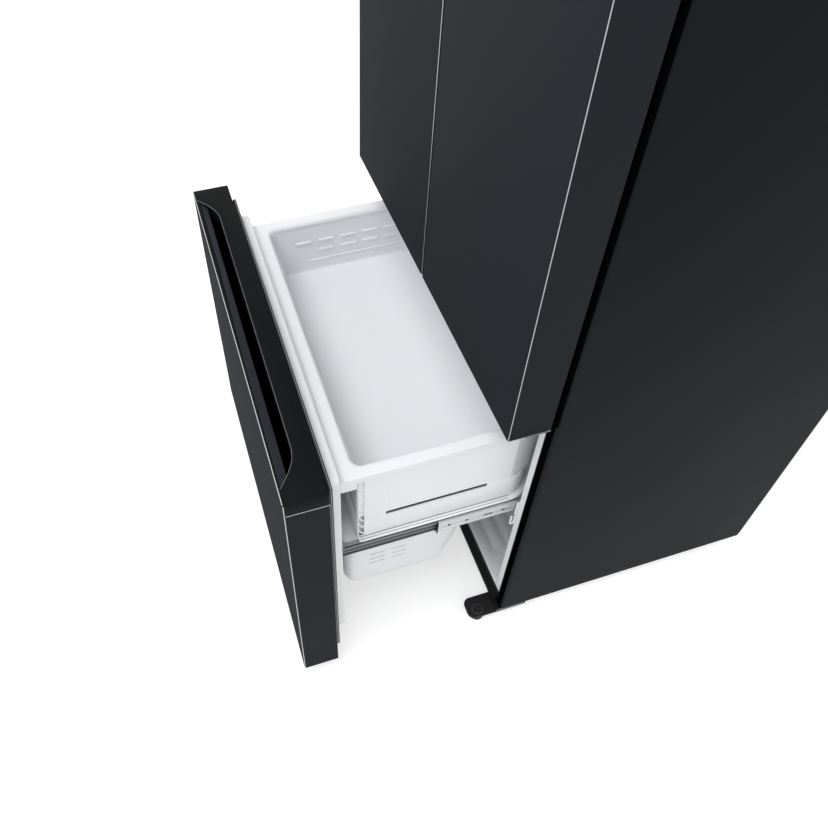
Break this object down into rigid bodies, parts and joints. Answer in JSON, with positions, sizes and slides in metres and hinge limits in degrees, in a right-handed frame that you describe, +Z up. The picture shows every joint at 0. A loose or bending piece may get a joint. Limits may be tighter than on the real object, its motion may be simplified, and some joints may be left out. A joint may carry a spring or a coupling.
{
  "type": "bottom freezer refrigerator",
  "caption": "French-door refrigerator with a bottom freezer drawer on telescopic slides, a sliding tray over a deep basket, a centre post, door bins, shelves and crispers.",
  "frame": {"origin": "centre of the bounding box's bottom, on the floor, with the freezer drawer pulled out as stored", "axes": "+Z up; the doors and the drawer face -Y; +X is to the right of a person who faces the doors from inside the room looking along +Y"},
  "size_m": [0.817, 1.105, 1.7758],
  "materials": {
    "graphite_steel": "satin graphite coated steel",
    "cabinet_paint": "satin near-black textured paint",
    "rear_steel": "bare galvanised sheet",
    "black_plastic": "fine-grained matte black",
    "white_plastic": "glossy white",
    "clear_plastic": "clear, glossy",
    "foam": "rigid foam, hidden",
    "zinc_steel": "bright zinc plate",
    "dark_steel": "black coated steel",
    "compressor_black": "gloss black",
    "gasket_rubber": "soft matte",
    "glass": "tempered, clear"
  },
  "bodies": {
    "cabinet": {"cabinet_wrapper": "cabinet_paint", "rear_panel": "rear_steel", "machine_room_cover": "rear_steel", "fridge_liner": "white_plastic", "freezer_liner": "white_plastic", "foam_top": "foam", "foam_back": "foam", "foam_mullion": "foam", "foam_floor": "foam", "mullion_plate": "cabinet_paint", "toe_bar": "black_plastic", "base_pan": "zinc_steel", "compressor": "compressor_black", "air_duct": "white_plastic", "evaporator_cover": "white_plastic", "crisper_cover": "glass", "shelf_lower": "glass", "shelf_upper": "glass", "foam_left": "foam", "foam_right": "foam", "front_leg_left": "dark_steel", "front_leg_right": "dark_steel", "top_hinge_left": "dark_steel", "top_hinge_right": "dark_steel", "hinge_cover_left": "black_plastic", "hinge_cover_right": "black_plastic", "middle_hinge_left": "dark_steel", "middle_hinge_right": "dark_steel", "crisper_left": "clear_plastic", "crisper_right": "clear_plastic", "rail_outer_left": "zinc_steel", "rail_outer_right": "zinc_steel"},
    "door_left": {"door_skin_left": "graphite_steel", "door_foam_left": "foam", "door_liner_left": "white_plastic", "door_gasket_left": "gasket_rubber", "bin_lower_left": "clear_plastic", "bin_middle_left": "clear_plastic"},
    "door_right": {"door_skin_right": "graphite_steel", "door_foam_right": "foam", "door_liner_right": "white_plastic", "door_gasket_right": "gasket_rubber", "bin_lower_right": "clear_plastic", "bin_middle_right": "clear_plastic"},
    "centre_post": {"flip_mullion": "cabinet_paint"},
    "drawer": {"drawer_skin": "graphite_steel", "drawer_cap": "black_plastic", "drawer_foam": "foam", "drawer_liner": "white_plastic", "drawer_gasket": "gasket_rubber", "lower_basket": "white_plastic", "rail_inner_left": "zinc_steel", "rail_inner_right": "zinc_steel"},
    "tray": {"upper_tray": "white_plastic"},
    "slide_left": {"rail_middle_left": "zinc_steel"},
    "slide_right": {"rail_middle_right": "zinc_steel"},
    "roller_left": {"rear_roller_left": "black_plastic"},
    "roller_right": {"rear_roller_right": "black_plastic"},
    "foot_left": {"leveling_foot_left": "dark_steel"},
    "foot_right": {"leveling_foot_right": "dark_steel"}
  },
  "joints": [
    {"name": "door_left_swing", "type": "hinge", "parent": "cabinet", "child": "door_left", "pos_m": [-0.385, -0.1285, 1.2], "axis": [0, 0, -1], "range_deg": [0, 115]},
    {"name": "door_right_swing", "type": "hinge", "parent": "cabinet", "child": "door_right", "pos_m": [0.385, -0.1285, 1.2], "axis": [0, 0, 1], "range_deg": [0, 115]},
    {"name": "centre_post_flip", "type": "hinge", "parent": "door_left", "child": "centre_post", "pos_m": [-0.044, -0.0745, 1.2], "axis": [0, 0, -1], "range_deg": [0, 90]},
    {"name": "drawer_slide", "type": "slide", "parent": "cabinet", "child": "drawer", "axis": [0, -1, 0], "range_m": [-0.38, 0.04]},
    {"name": "tray_slide", "type": "slide", "parent": "drawer", "child": "tray", "axis": [0, 1, 0], "range_m": [0, 0.2]},
    {"name": "slide_left_run", "type": "slide", "parent": "cabinet", "child": "slide_left", "axis": [0, -1, 0], "range_m": [-0.19, 0.02]},
    {"name": "slide_right_run", "type": "slide", "parent": "cabinet", "child": "slide_right", "axis": [0, -1, 0], "range_m": [-0.19, 0.02]},
    {"name": "roller_left_spin", "type": "hinge", "parent": "cabinet", "child": "roller_left", "pos_m": [-0.33, 0.5175, 0.017], "axis": [1, 0, 0], "continuous": true},
    {"name": "roller_right_spin", "type": "hinge", "parent": "cabinet", "child": "roller_right", "pos_m": [0.33, 0.5175, 0.017], "axis": [1, 0, 0], "continuous": true},
    {"name": "foot_left_turn", "type": "hinge", "parent": "cabinet", "child": "foot_left", "pos_m": [-0.389, -0.1335, 0.02], "axis": [0, 0, 1], "continuous": true},
    {"name": "foot_right_turn", "type": "hinge", "parent": "cabinet", "child": "foot_right", "pos_m": [0.389, -0.1335, 0.02], "axis": [0, 0, 1], "continuous": true}
  ],
  "couplings": [
    {"joint": "slide_left_run", "follows": "drawer_slide", "ratio": 0.5},
    {"joint": "slide_right_run", "follows": "drawer_slide", "ratio": 0.5}
  ]
}
